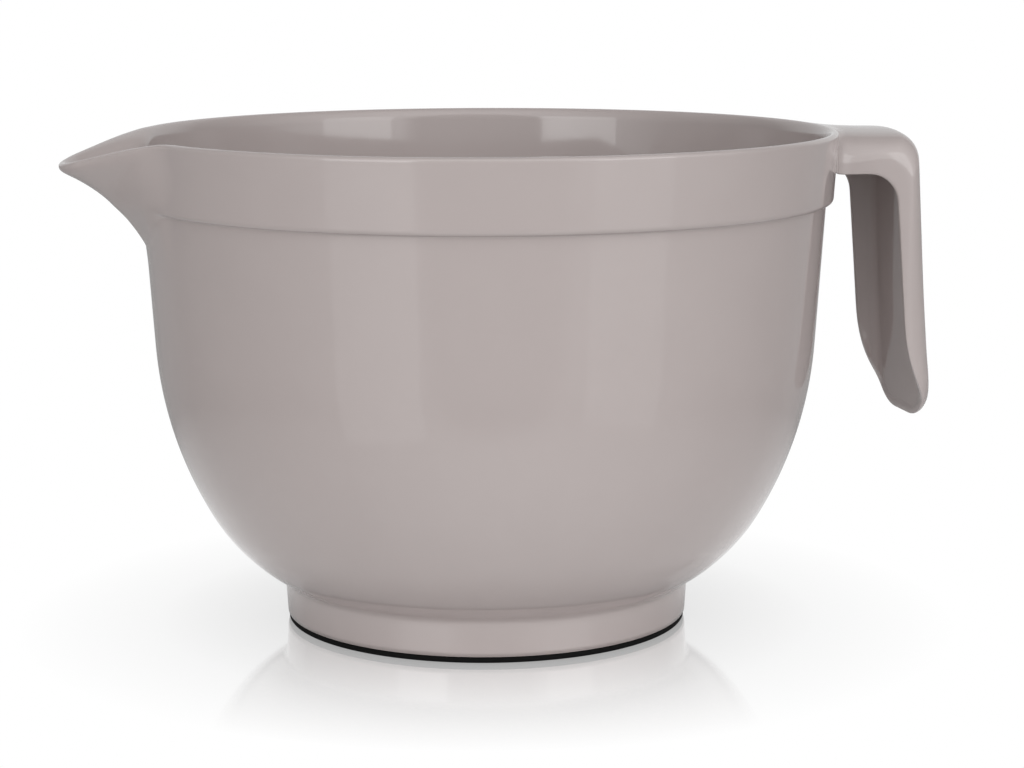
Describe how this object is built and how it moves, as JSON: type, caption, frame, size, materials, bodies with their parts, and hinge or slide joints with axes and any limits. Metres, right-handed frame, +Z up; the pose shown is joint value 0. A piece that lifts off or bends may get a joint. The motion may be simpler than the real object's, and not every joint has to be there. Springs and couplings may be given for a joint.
{
  "type": "batter bowl",
  "caption": "Deep moulded batter bowl with a banded rim, a flared pouring spout opposite a hollow-backed strap handle, and a foot on a non-slip rubber ring.",
  "frame": {"origin": "on the table plane, on the bowl's own axis, in the middle of the non-slip ring's tread", "axes": "+Z up along the bowl's axis, +X from the axis towards the handle, the spout points along -X, +Y completes a right-handed frame"},
  "size_m": [0.2888, 0.2304, 0.1615],
  "materials": {
    "moulding": "polished warm grey melamine",
    "rubber": "matte black"
  },
  "bodies": {
    "root": {"bowl_shell": "moulding", "rim_band": "moulding", "pouring_spout": "moulding", "handle": "moulding", "foot_ring": "moulding", "non_slip_ring": "rubber"}
  },
  "joints": []
}
